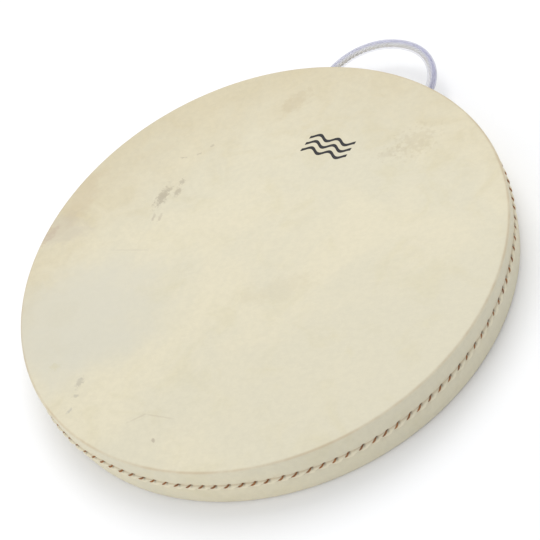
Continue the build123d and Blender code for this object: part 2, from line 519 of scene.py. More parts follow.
@dataclass(frozen=True)
class HideFinish:
    """Scraped and dried goat hide: cream, cloudy, a little waxy, and browner where it is bent."""

    name: str
    level: float
    stains: tuple[Stain, ...]
    marked: bool = False
    light: Colour = (0.668, 0.611, 0.446)
    pale: Colour = (0.632, 0.586, 0.438)
    deep: Colour = (0.600, 0.545, 0.365)
    warm: Colour = (0.560, 0.480, 0.310)
    # Painted highlight on the bulging lip between the stitches.
    leaf: Colour = (0.740, 0.670, 0.490)
    # The hide's browner tone over the hoop. The same colour is also painted as shade in the creases.
    bend: Colour = (0.450, 0.300, 0.160)
    # Painted shade in the stitch holes and the pits where the cord goes in.
    hole_shade: Colour = (0.050, 0.022, 0.012)
    ink: Colour = (0.012, 0.011, 0.012)
    warm_from: tuple[float, float] = (0.085, -0.090)

    def dress(self) -> bpy.types.Material:
        """Builds the hide.

        Returns:
            The material.
        """
        hide = Finish(self.name)
        cloud = hide.noise(7.0, detail=5.0, rough=0.6, warp=0.5)
        patch = hide.noise(24.0, detail=6.0, rough=0.62, warp=0.8)
        mottle = hide.noise(170.0, detail=5.0, rough=0.7)
        fibre = hide.noise(60.0, detail=6.0, rough=0.7, where=hide.moved((0, 0, 0), (1.0, 0.12, 1.0), 0.5))
        colour = hide.mix(hide.between(cloud, 0.38, 0.62), self.light, self.pale)
        colour = hide.mix(hide.between(patch, 0.48, 0.72, 0.0, 0.40), colour, self.deep)
        far = hide.measure("DISTANCE", hide.place, (*self.warm_from, self.level))
        reach = hide.maths("ADD", far, hide.maths("MULTIPLY", hide.maths("SUBTRACT", patch, 0.5), 0.16))
        colour = hide.mix(hide.between(reach, 0.20, 0.40, 0.0, 0.70), colour, self.warm)
        grain = hide.maths("ADD", mottle, hide.maths("MULTIPLY", fibre, 0.35))
        grain = hide.between(grain, 0.5, 0.85, 0.965, 1.02)
        colour = hide.mix(1.0, colour, hide.join(grain, grain, grain), Blend.STAIN)
        for stain in self.stains:
            colour = self.stained(hide, colour, stain)
        if self.marked:
            colour = hide.mix(WaveMark(self.level).ink(hide), colour, self.ink)
        colour = self.wear_and_painted_light(hide, colour, patch)
        relief = hide.bump(fibre, 0.08, 0.0005)
        relief = hide.bump(hide.noise(900.0, detail=2.0), 0.25, 0.0002, relief)
        relief = hide.bump(patch, 0.5, 0.0012, relief)
        roughness = hide.between(mottle, 0.3, 0.7, 0.46, 0.62)
        return hide.finish(colour, roughness, relief, Specular_IOR_Level=0.35)

    def stained(self, hide: Finish, colour: Socket, stain: Stain) -> Socket:
        """Lays one stain: strongest at its centre, ending where its length and a noise reach one."""
        where = hide.moved((*stain.centre, self.level), (*stain.size, 1.0), stain.turn)
        ragged = hide.maths("MULTIPLY", hide.maths("SUBTRACT", hide.noise(stain.grain, 4.0, 0.65), 0.5),
                            2.0 * stain.ragged)
        edge = hide.maths("ADD", hide.measure("LENGTH", where), ragged)
        return hide.mix(hide.between(edge, 0.35, 1.05, stain.strength, 0.0), colour, stain.colour)

    def wear_and_painted_light(self, hide: Finish, colour: Socket, patch: Socket) -> Socket:
        """Browns the bend over the hoop, paints a highlight on the bulging lip between stitches, and paints
        shade into the creases and the stitch holes.
        """
        bend = hide.maths("MULTIPLY", hide.painted("bend"), hide.between(patch, 0.35, 0.6, 0.35, 0.95))
        colour = hide.mix(bend, colour, self.bend)
        # Painted highlight on the bulging lip between the stitches.
        colour = hide.mix(hide.maths("MULTIPLY", hide.painted("leaf"), 0.70), colour, self.leaf)
        # Painted shade in the creases, in the bend colour.
        colour = hide.mix(hide.maths("MULTIPLY", hide.painted("crease"), 0.60), colour, self.bend)
        # Painted shade in the stitch holes, along the stitch grooves and in the cord's pits.
        return hide.mix(hide.maths("MULTIPLY", hide.painted("hole"), 0.92), colour, self.hole_shade)


@dataclass(frozen=True)
class ThreadFinish:
    """Waxed thread: red-brown, twisted from two plies, with painted shade in the grooves between them that
    shows as slanting dark lines.
    """

    light: Colour = (0.420, 0.175, 0.050)
    dark: Colour = (0.105, 0.034, 0.012)
    twist: float = 0.0024

    def dress(self) -> bpy.types.Material:
        """Builds the thread.

        Returns:
            The material.
        """
        thread = Finish("waxed_thread")
        along, around = thread.mapped()
        turns = thread.maths("ADD", thread.maths("DIVIDE", along, self.twist), around)
        ply = thread.maths("ABSOLUTE", thread.maths("SINE", thread.maths("MULTIPLY", turns, pi * 2.0)))
        fluff = thread.noise(1500.0, detail=3.0)
        patch = thread.noise(90.0, detail=2.0)
        lit = thread.between(patch, 0.3, 0.7, 0.45, 1.0)
        # Painted shade in the grooves between the plies, varied in patches by the lit noise.
        shade = thread.maths("MULTIPLY", thread.between(ply, 0.0, 0.7), lit)
        colour = thread.mix(shade, self.dark, self.light)
        relief = thread.bump(fluff, 0.3, 0.0001, thread.bump(ply, 0.8, 0.0003))
        return thread.finish(colour, thread.between(patch, 0.3, 0.7, 0.5, 0.7), relief)


@dataclass(frozen=True)
class CordFinish:
    """Soft white cord: fine yarns that run along each strand."""

    light: Colour = (0.880, 0.875, 0.850)
    shade: Colour = (0.560, 0.550, 0.550)
    dirt: Colour = (0.620, 0.560, 0.460)
    yarns: float = 9.0
    lay: float = 0.012

    def dress(self) -> bpy.types.Material:
        """Builds the cord.

        Returns:
            The material.
        """
        cord = Finish("white_cord")
        along, around = cord.mapped()
        wound = cord.maths("DIVIDE", along, self.lay)
        lines = cord.maths("ADD", cord.maths("MULTIPLY", around, self.yarns), wound)
        yarn = cord.maths("ABSOLUTE", cord.maths("SINE", cord.maths("MULTIPLY", lines, pi)))
        fluff = cord.noise(1200.0, detail=4.0)
        wear_and_painted_light = cord.noise(60.0, detail=4.0)
        colour = cord.mix(cord.between(yarn, 0.0, 0.45, 0.5, 0.0), self.light, self.shade)
        colour = cord.mix(cord.between(wear_and_painted_light, 0.55, 0.75, 0.0, 0.3), colour, self.dirt)
        relief = cord.bump(fluff, 0.35, 0.0002, cord.bump(yarn, 0.7, 0.0003))
        return cord.finish(colour, 0.85, relief, Sheen_Weight=0.2)


@dataclass(frozen=True)
class HoseFinish:
    """Clear soft plastic with a lilac cast and a few scuffs. It is clouded where the bend stretches it."""

    tint: Colour = (0.350, 0.345, 0.530)
    streak: Colour = (0.440, 0.440, 0.610)
    # Painted shade at the tube's glancing sides, standing in for refraction.
    edge: Colour = (0.200, 0.205, 0.260)
    clear: float = 0.035
    clouded: float = 0.34
    rim: float = 0.50

    def dress(self) -> bpy.types.Material:
        """Builds the plastic.

        Returns:
            The material.
        """
        hose = Finish("clear_hose")
        along, around = hose.mapped()
        scuff = hose.noise(240.0, detail=5.0, rough=0.7)
        drawn_out = hose.join(hose.maths("MULTIPLY", along, 40.0), hose.maths("MULTIPLY", around, 14.0), 0.0)
        lines = hose.noise(1.0, detail=3.0, where=drawn_out)
        from_outside = hose.maths("ABSOLUTE", hose.maths("SUBTRACT", around, 0.5))
        cloud = hose.between(from_outside, 0.16, 0.34, self.clouded, self.clear)
        body = hose.maths("MULTIPLY", cloud, hose.between(lines, 0.35, 0.65, 0.8, 1.15))
        # Darker and more opaque at glancing angles. The opacity is partly the longer path through the tinted
        # wall, and the darker colour is painted shade standing in for refraction at the tube's sides.
        glancing = hose.add("ShaderNodeLayerWeight")
        glancing.inputs["Blend"].default_value = 0.5
        rim = hose.between(glancing.outputs["Facing"], 0.45, 0.95, 0.0, self.rim)
        hose.feed(hose.shader.inputs["Alpha"], hose.maths("ADD", body, rim))
        colour = hose.mix(hose.between(lines, 0.4, 0.7), self.tint, self.streak)
        colour = hose.mix(rim, colour, self.edge)
        return hose.finish(colour, hose.between(scuff, 0.45, 0.75, 0.12, 0.30),
                           hose.bump(scuff, 0.1, 0.0001), IOR=1.5, Specular_IOR_Level=1.0)


@dataclass(frozen=True)
class BentwoodFinish:
    """A planed ash strip: grain that runs round the hoop, with darker late wood."""

    early: Colour = (0.560, 0.390, 0.215)
    late: Colour = (0.300, 0.175, 0.080)
    pore: Colour = (0.180, 0.100, 0.045)

    def dress(self) -> bpy.types.Material:
        """Builds the wood.

        Returns:
            The material.
        """
        wood = Finish("bentwood")
        x, y, z = wood.split(wood.place)
        round_it = wood.maths("MULTIPLY", wood.maths("ARCTAN2", y, x), 0.25)
        square = wood.maths("ADD", wood.maths("MULTIPLY", x, x), wood.maths("MULTIPLY", y, y))
        depth = wood.maths("SQRT", square)
        strip = wood.join(wood.maths("MULTIPLY", round_it, 0.08), z, wood.maths("MULTIPLY", depth, 0.6))
        rings = wood.noise(160.0, detail=6.0, rough=0.6, warp=0.4, where=strip)
        pores = wood.noise(900.0, detail=3.0, rough=0.7, where=strip)
        colour = wood.mix(wood.between(rings, 0.38, 0.64), self.early, self.late)
        colour = wood.mix(wood.between(pores, 0.55, 0.7, 0.0, 0.5), colour, self.pore)
        relief = wood.bump(pores, 0.4, 0.0003, wood.bump(rings, 0.3, 0.0005))
        return wood.finish(colour, wood.between(rings, 0.3, 0.7, 0.5, 0.7), relief)


@dataclass(frozen=True)
class SteelFinish:
    """Plain steel with fine scratches and a little tarnish."""

    name: str
    bright: Colour = (0.520, 0.520, 0.530)
    dull: Colour = (0.230, 0.210, 0.190)
    tarnish: float = 0.6

    def dress(self) -> bpy.types.Material:
        """Builds the steel.

        Returns:
            The material.
        """
        steel = Finish(self.name)
        spots = steel.noise(420.0, detail=5.0, rough=0.65)
        scratch = steel.noise(1500.0, detail=3.0, where=steel.moved((0, 0, 0), (1.0, 0.15, 1.0), 0.7))
        colour = steel.mix(steel.between(spots, 0.45, 0.75, 0.0, self.tarnish), self.bright, self.dull)
        roughness = steel.between(spots, 0.3, 0.7, 0.22, 0.48)
        return steel.finish(colour, roughness, steel.bump(scratch, 0.15, 0.0001), Metallic=1.0)


# ---------------------------------------------------------------- the studio


@dataclass(frozen=True)
class Lamp:
    """A square soft light: where it hangs, its side, its power in watts and its colour."""

    name: str
    place: Point
    size: float
    power: float
    colour: Colour


@dataclass
class Studio:
    """A pale floor, soft light from above, and a camera over the drum's near right side."""

    camera_place: Point = (0.6516, -0.5185, 0.8774)
    aim: Point = (0.0338, -0.0219, 0.0520)
    roll: float = radians(27.95)
    lens: float = 80.44
    sensor: float = 36.0
    floor_size: float = 6.0
    floor_drop: float = 0.0004
    sky: Colour = (0.93, 0.95, 1.0)
    sky_strength: float = 0.82
    floor_colour: Colour = (0.92, 0.92, 0.915)
    lamps: tuple[Lamp, ...] = (
        Lamp("key", (-0.4, 0.9, 2.1), 1.6, 23.5, (1.0, 0.99, 0.97)),
        Lamp("fill", (-0.5, -2.3, 1.0), 1.8, 14.0, (1.0, 0.99, 0.98)),
    )

    def build(self) -> None:
        """Makes the camera, the floor and the lights."""
        self.build_camera()
        self.build_floor()
        self.build_sky()
        for lamp in self.lamps:
            self.hang(lamp)
        bpy.context.scene.view_settings.view_transform = "Standard"

    def build_camera(self) -> None:
        """Points the camera: its up direction is the world's, turned by the roll about the line of sight."""
        ahead = (Vector(self.aim) - Vector(self.camera_place)).normalized()
        level = Vector((0.0, 0.0, 1.0)) - ahead.z * ahead
        level.normalize()
        side = ahead.cross(level)
        upwards = cos(self.roll) * level + sin(self.roll) * side
        right = cos(self.roll) * side - sin(self.roll) * level
        turn = Matrix((right, upwards, -ahead)).transposed().to_4x4()
        data = bpy.data.cameras.new("camera")
        data.lens, data.sensor_width = self.lens, self.sensor
        data.clip_start, data.clip_end = 0.01, 50.0
        camera = bpy.data.objects.new("camera", data)
        camera.matrix_world = Matrix.Translation(self.camera_place) @ turn
        bpy.context.scene.collection.objects.link(camera)
        bpy.context.scene.camera = camera

    def build_floor(self) -> None:
        """Lays the floor just under the drum."""
        half = self.floor_size / 2.0
        corners = [(-half, -half), (half, -half), (half, half), (-half, half)]
        mesh = bpy.data.meshes.new("floor")
        mesh.from_pydata([(x, y, -self.floor_drop) for x, y in corners], [], [(0, 1, 2, 3)])
        floor = bpy.data.objects.new("floor", mesh)
        bpy.context.scene.collection.objects.link(floor)
        finish = Finish("floor")
        duller = tuple(0.985 * part for part in self.floor_colour)
        shade = finish.mix(finish.noise(3.0), self.floor_colour, duller)
        mesh.materials.append(finish.finish(shade, 0.8, Specular_IOR_Level=0.1))

    def build_sky(self) -> None:
        """Lights the scene evenly from all round."""
        world = bpy.data.worlds.new("studio")
        world.use_nodes = True
        background = world.node_tree.nodes["Background"]
        background.inputs["Color"].default_value = (*self.sky, 1.0)
        background.inputs["Strength"].default_value = self.sky_strength
        bpy.context.scene.world = world

    def hang(self, lamp: Lamp) -> None:
        """Hangs a lamp that faces the drum."""
        data = bpy.data.lights.new(lamp.name, "AREA")
        data.size, data.energy, data.color = lamp.size, lamp.power, lamp.colour
        holder = bpy.data.objects.new(lamp.name, data)
        holder.location = lamp.place
        holder.rotation_euler = (Vector(self.aim) - Vector(lamp.place)).to_track_quat("-Z", "Y").to_euler()
        bpy.context.scene.collection.objects.link(holder)


# ---------------------------------------------------------------- the drum


@dataclass(frozen=True)
class DrumSizes:
    """The drum's main sizes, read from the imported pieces."""

    radius: float
    depth: float
    hoop_radius: float
    hoop_wall: float = 0.008
    skin: float = 0.001
    fold: float = 0.0035

    @property
    def hoop_inside(self) -> float:
        """The radius of the hoop's inner side."""
        return self.hoop_radius - self.hoop_wall

    @classmethod
    def measured(cls) -> "DrumSizes":
        """Reads the sizes.

        Returns:
            The sizes of this frame.
        """
        hoop_low, hoop_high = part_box("hoop")
        _, front_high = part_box("front_head")
        radius = hoop_high.x + hoop_low.z
        return cls(radius=radius, depth=front_high.z, hoop_radius=hoop_high.x)


@dataclass(frozen=True)
class Seam:
    """Where the front hide laps over the rear one and is sewn down with slanting stitches."""

    radius: float
    stitches: int = 130
    height: float = 0.0299
    wander: tuple[tuple[int, float, float], ...] = (
        (1, 0.0009, radians(19.0)), (2, 0.0009, radians(37.0)),
        (3, 0.0010, radians(54.0)), (4, 0.0011, radians(57.0)))
    run: float = 0.0080
    rise: float = 0.0036
    proud: float = 0.0024
    overlap: float = 0.0002
    lap_length: float = 0.004
    groove: float = 0.0011
    hole: float = 0.0012
    crease_length: float = 0.0110
    margin: float = 0.00035
    scallop: float = 0.0004
    scallop_shift: float = 0.35
    stray: float = 0.00045
    lean: float = 0.00035
    crease_depth: float = 0.00045
    crease_width: float = 0.0006
    hole_depth: float = 0.0010
    pull_depth: float = 0.00045
    seed: int = 11

    @property
    def top(self) -> float:
        """The upper crease of the lap, above the middle of the seam."""
        return self.rise / 2.0 - self.overlap

    def habits(self) -> dict[str, Array]:
        """How each stitch differs from the next: its shift, its size and its pull."""
        draw = np.random.default_rng(self.seed)
        return {
            "shift": draw.normal(0.0, self.stray, self.stitches),
            "size": draw.uniform(0.86, 1.12, self.stitches),
            "pull": draw.uniform(0.25, 1.0, self.stitches) ** 1.5,
            "lean": draw.normal(0.0, self.lean, self.stitches),
            "sink": draw.uniform(0.75, 1.2, self.stitches),
        }

    def middle(self, azimuth: Array) -> Array:
        """The seam's height: a mean with a few slow waves round the drum."""
        waves = [size * np.cos(order * azimuth - phase) for order, size, phase in self.wander]
        return self.height + sum(waves)

    def edge(self, azimuth: Array) -> Array:
        """The front hide's cut edge, from the seam's middle: lowest halfway between two stitches."""
        phase = azimuth / TURN * self.stitches
        wave = np.cos(TURN * (phase - self.scallop_shift))
        return -self.rise / 2.0 - self.margin - self.scallop * wave

    def near_stitches(self, azimuth: Array) -> list[tuple[Array, Array]]:
        """The stitch nearest to each place and its two neighbours.

        Args:
            azimuth: Angles round the drum.

        Returns:
            For each of the three, the stitch's number and the place's distance along the seam from it.
        """
        number = np.round(azimuth / TURN * self.stitches)
        shift = self.habits()["shift"]
        found = []
        for step in (-1, 0, 1):
            stitch = number + step
            index = stitch.astype(int) % self.stitches
            along = (azimuth - stitch * TURN / self.stitches) * self.radius - shift[index]
            found.append((index, along))
        return found

    def relief(self, azimuth: Array, above: Array) -> dict[str, Array]:
        """How the stitches shape the hide.

        The groove is a bell-shaped dip along each stitch's slanting line, the hole is a dip at its
        upper end, and a crease runs on from each end in the direction of the pull.

        Args:
            azimuth: Angles round the drum.
            above: Heights above the seam's middle.

        Returns:
            The strengths, from 0 to 1, of the groove, the hole and the creases above and below.
        """
        azimuth, above = np.broadcast_arrays(azimuth, above)
        found = {name: np.zeros(azimuth.shape) for name in ("groove", "hole", "upper", "lower")}
        habits = self.habits()
        for index, along in self.near_stitches(azimuth):
            size, pull = habits["size"][index], habits["pull"][index]
            run, rise = self.run * size, self.rise * size + habits["lean"][index]
            length = np.hypot(run, rise)
            ahead = (along * run + above * rise) / length
            aside = (above * run - along * rise) / length
            past = np.maximum(np.abs(ahead) - length / 2.0, 0.0)
            groove = np.exp(-((aside / self.groove) ** 2) - (past / self.groove) ** 2)
            hole = np.exp(-(((ahead - length / 2.0) ** 2 + aside**2) / self.hole**2))
            fade = np.exp(-((past / self.crease_length) ** 2)) * pull
            line = np.exp(-((aside / (0.6 * self.groove + 0.12 * past)) ** 2)) * fade
            found["groove"] = np.maximum(found["groove"], groove)
            found["hole"] = np.maximum(found["hole"], hole)
            found["upper"] = np.maximum(found["upper"], line * (ahead > 0.0))
            found["lower"] = np.maximum(found["lower"], line * (ahead < 0.0))
        return found

    def lap(self, azimuth: Array, above: Array) -> Array:
        """How far the lapped edge stands out: it rises from the upper crease to the cut edge as a sine."""
        share = np.clip((self.top - above) / (self.top - self.edge(azimuth)), 0.0, 1.0)
        swell = np.sin(share**0.85 * pi / 2.0) - 0.25 * smooth(share, 0.82, 1.0)
        relief = self.relief(azimuth, above)
        height = self.proud * swell * (1.0 - 0.55 * relief["groove"])
        crease = self.crease_depth * np.exp(-(((above - self.top) / self.crease_width) ** 2))
        pulled = self.pull_depth * relief["upper"] * smooth(above, 0.0, self.top)
        return height - crease - self.hole_depth * relief["hole"] - pulled


@dataclass
class Hide:
    """What the two hides share: the slow unevenness of the wall and of the face."""

    sizes: DrumSizes
    seam: Seam
    seed: int
    face_columns: int = 520
    hub_columns: int = 65
    skirt_columns: int = 1040
    lap_columns: int = 2080
    bend_rings: int = 7
    inner_share: float = 0.998
    ripple: float = 0.00022
    slow_wave: float = 0.00011
    dents: int = 26
    bow: float = 0.0003
    brown: float = 0.45
    brown_at: float = 0.62
    brown_spread: float = 0.30

    def wall(self, azimuth: Array, height: Array) -> Array:
        """The wall's unevenness: slow waves round the drum, and dents and puckers at chance places.

        Args:
            azimuth: Angles round the drum.
            height: Heights above the floor.

        Returns:
            How far the wall stands out beyond its mean radius.
        """
        draw = np.random.default_rng(self.seed)
        total = np.zeros(np.broadcast(azimuth, height).shape)
        for order in range(3, 12):
            slope, phase = draw.uniform(-60.0, 60.0), draw.uniform(0.0, TURN)
            total = total + self.slow_wave * np.cos(order * azimuth + slope * height + phase)
        for _ in range(self.dents):
            centre, level = draw.uniform(0.0, TURN), draw.uniform(0.008, 0.044)
            wide, tall = draw.uniform(0.006, 0.022), draw.uniform(0.004, 0.010)
            size = draw.uniform(-0.0006, 0.0008)
            apart = (np.angle(np.exp(1j * (azimuth - centre)))) * self.sizes.radius
            total = total + size * np.exp(-((apart / wide) ** 2) - ((height - level) / tall) ** 2)
        bow = np.sin(np.clip(height / self.sizes.depth, 0.0, 1.0) * pi)
        return total * smooth(bow, 0.05, 0.5) + self.bow * bow

    def face(self, azimuth: Array, radius: Array) -> Array:
        """The face's dip: six waves of chance direction across the hide, never above the hoop's edge."""
        draw = np.random.default_rng(self.seed + 1)
        x, y = radius * np.cos(azimuth), radius * np.sin(azimuth)
        total = np.zeros(np.broadcast(x, y).shape)
        for _ in range(6):
            heading, length = draw.uniform(0.0, TURN), draw.uniform(0.07, 0.24)
            across = x * cos(heading) + y * sin(heading)
            total = total + np.cos(TURN * across / length + draw.uniform(0.0, TURN)) / 6.0
        return self.ripple * (1.0 + total) * smooth(self.sizes.radius - radius, 0.004, 0.030)

    def browned(self, angle: float) -> float:
        """How brown the bend is at an angle round it: a bell with its top in the first half."""
        return self.brown * float(np.exp(-(((angle - self.brown_at) / self.brown_spread) ** 2)))

    def columns(self, count: int) -> Array:
        """Angles of a ring's points."""
        return np.arange(count) / count * TURN

    def level(self, inward: Array) -> Array:
        """The height of a place, from its distance in from the outer side of the face."""
        return inward

    def paint(self, draft: MeshDraft, points: Array, bend: Array | float = 0.0,
              crease: Array | float = 0.0, hole: Array | float = 0.0, leaf: Array | float = 0.0) -> Array:
        """Adds a ring with the fields that the finish reads.

        Args:
            draft: The mesh that it goes into.
            points: The ring's points.
            bend: How brown the bend is.
            crease: How much painted shade the creases get.
            hole: How much painted shade the stitch holes get.
            leaf: How much painted highlight the bulging hide between two stitches gets.

        Returns:
            The points' numbers.
        """
        return draft.add(points, bend=bend, crease=crease, hole=hole, leaf=leaf)

    def face_ring(self, draft: MeshDraft, count: int, radius: float, under: float) -> Array:
        """One ring of the face, a distance under its outer side."""
        azimuth = self.columns(count)
        height = self.level(under + self.face(azimuth, radius))
        at_bend = under == 0.0 and radius > self.sizes.radius - 1.01 * self.sizes.fold
        brown = self.browned(0.0) if at_bend else 0.0
        return self.paint(draft, on_cylinder(azimuth, radius, height), bend=brown)

    def fold_ring(self, draft: MeshDraft, angle: float) -> Array:
        """One ring of the bend: a quarter circle from the face to the wall."""
        azimuth = self.columns(self.skirt_columns)
        fold = self.sizes.fold
        height = self.level(fold * (1.0 - cos(angle)))
        radius = self.sizes.radius - fold * (1.0 - sin(angle)) + self.wall(azimuth, height) * sin(angle)
        return self.paint(draft, on_cylinder(azimuth, radius, height), bend=self.browned(angle))

    def face_and_bend(self, draft: MeshDraft) -> list[Array]:
        """The rings of the face's outer side and of the bend."""
        face = self.face_rings(self.face_columns)
        rings = [self.face_ring(draft, count, radius, 0.0) for count, radius in face]
        angles = np.linspace(0.0, pi / 2.0, self.bend_rings + 1)[1:]
        return rings + [self.fold_ring(draft, angle) for angle in angles]

    def closed(self, draft: MeshDraft, rings: list[Array], name: str) -> Piece:
        """Adds the face's inner side, joins each ring to the next and makes the skin.

        Args:
            draft: The mesh that the rings are in.
            rings: The rings so far, from the middle of the face's outer side to the hoop's lining.
            name: The skin's name.

        Returns:
            The closed skin.
        """
        inner = self.face_rings(self.face_columns // 2)[::-1]
        rings = rings + [self.face_ring(draft, count, radius * self.inner_share, self.sizes.skin)
                         for count, radius in inner]
        for near, far in zip(rings, rings[1:]):
            draft.bridge(near, far)
        return draft.build(name)

    def face_rings(self, count: int) -> list[tuple[int, float]]:
        """Rings from the middle to the bend: how many points each has, and its radius.

        Args:
            count: Points in the outermost ring.

        Returns:
            The rings, the pole first.
        """
        edge = self.sizes.radius - self.sizes.fold
        shares = np.linspace(0.0, 1.0, 25)[1:]
        rings = [(1, 0.0)]
        for share in shares:
            divide = 8 if share < 0.10 else 4 if share < 0.22 else 2 if share < 0.46 else 1
            rings.append((max(count // divide, self.hub_columns), edge * float(share)))
        return rings


@dataclass
class FrontHide(Hide):
    """The front skin: its face, the bend, the wall down to the seam, and the lap that is sewn down."""

    clear_of_seam: float = 0.0050

    def build(self) -> Piece:
        """Builds the skin ring by ring, from the middle of its face, over the edge and back inside.

        Returns:
            The closed skin.
        """
        draft = MeshDraft()
        rings = self.face_and_bend(draft)
        rings += [self.wall_ring(draft, share) for share in np.linspace(0.0, 1.0, 13)[1:]]
        rings += [self.lap_ring(draft, share) for share in np.linspace(0.0, 1.0, 17)[1:]]
        rings += [self.inner_ring(draft, share) for share in (0.0, 0.25, 0.5, 0.75, 1.0)]
        rings += [self.lining_ring(draft, share) for share in (0.3, 0.6, 0.9)]
        return self.closed(draft, rings, "front_hide")

    def level(self, inward: Array) -> Array:
        """The face is the drum's top."""
        return self.sizes.depth - inward

    def wall_ring(self, draft: MeshDraft, share: float) -> Array:
        """One ring of the wall, between the bend and the seam's upper creases."""
        azimuth = self.columns(self.skirt_columns)
        start = self.sizes.depth - self.sizes.fold
        above = self.seam.middle(azimuth) + self.clear_of_seam
        height = start + (above - start) * share
        return self.outer_ring(draft, azimuth, height)

    def lap_ring(self, draft: MeshDraft, share: float) -> Array:
        """One ring of the lap, down to the cut edge."""
        azimuth = self.columns(self.lap_columns)
        height = self.seam.middle(azimuth) + self.clear_of_seam
        bottom = self.seam.middle(azimuth) + self.seam.edge(azimuth)
        return self.outer_ring(draft, azimuth, height + (bottom - height) * share)

    def outer_ring(self, draft: MeshDraft, azimuth: Array, height: Array) -> Array:
        """A ring on the outside, shaped and painted by the seam."""
        above = height - self.seam.middle(azimuth)
        relief = self.seam.relief(azimuth, above)
        radius = self.sizes.radius + self.wall(azimuth, height) + self.seam.lap(azimuth, above)
        # Painted shade: the crease field darkens the upper crease of the lap, the underside of the cut edge
        # and the creases from the stitches, and the hole field darkens the stitch holes.
        top_line = np.exp(-(((above - self.seam.top) / 0.00045) ** 2))
        under_line = smooth(-above, -self.seam.edge(azimuth) - 0.0005, -self.seam.edge(azimuth))
        crease = np.clip(0.75 * top_line + 0.6 * under_line + 0.35 * relief["upper"], 0.0, 1.0)
        # Painted highlight on the bulging lip between the stitches, away from the grooves.
        leaf = smooth(-above, -self.seam.top, 0.0) * (1.0 - relief["groove"])
        points = on_cylinder(azimuth, radius, height)
        return self.paint(draft, points, crease=crease, hole=relief["hole"], leaf=leaf)

    def inner_ring(self, draft: MeshDraft, share: float) -> Array:
        """A ring on the inside of the lap, from the cut edge up to where the hide meets the hoop."""
        azimuth = self.columns(self.skirt_columns)
        edge = self.seam.edge(azimuth)
        above = edge + (self.clear_of_seam - edge) * share
        stand_out = self.seam.lap(azimuth, above) - self.sizes.skin
        radius = np.maximum(self.sizes.radius + stand_out, self.sizes.hoop_radius)
        height = self.seam.middle(azimuth) + above
        # The hidden inside of the lap is painted in full crease shade.
        return self.paint(draft, on_cylinder(azimuth, radius, height), crease=1.0)

    def lining_ring(self, draft: MeshDraft, share: float) -> Array:
        """A ring on the inside of the wall, against the hoop."""
        azimuth = self.columns(self.face_columns)
        start = self.seam.middle(azimuth) + self.clear_of_seam
        height = start + (self.sizes.depth - self.sizes.fold - start) * share
        return self.paint(draft, on_cylinder(azimuth, self.sizes.hoop_radius, height))


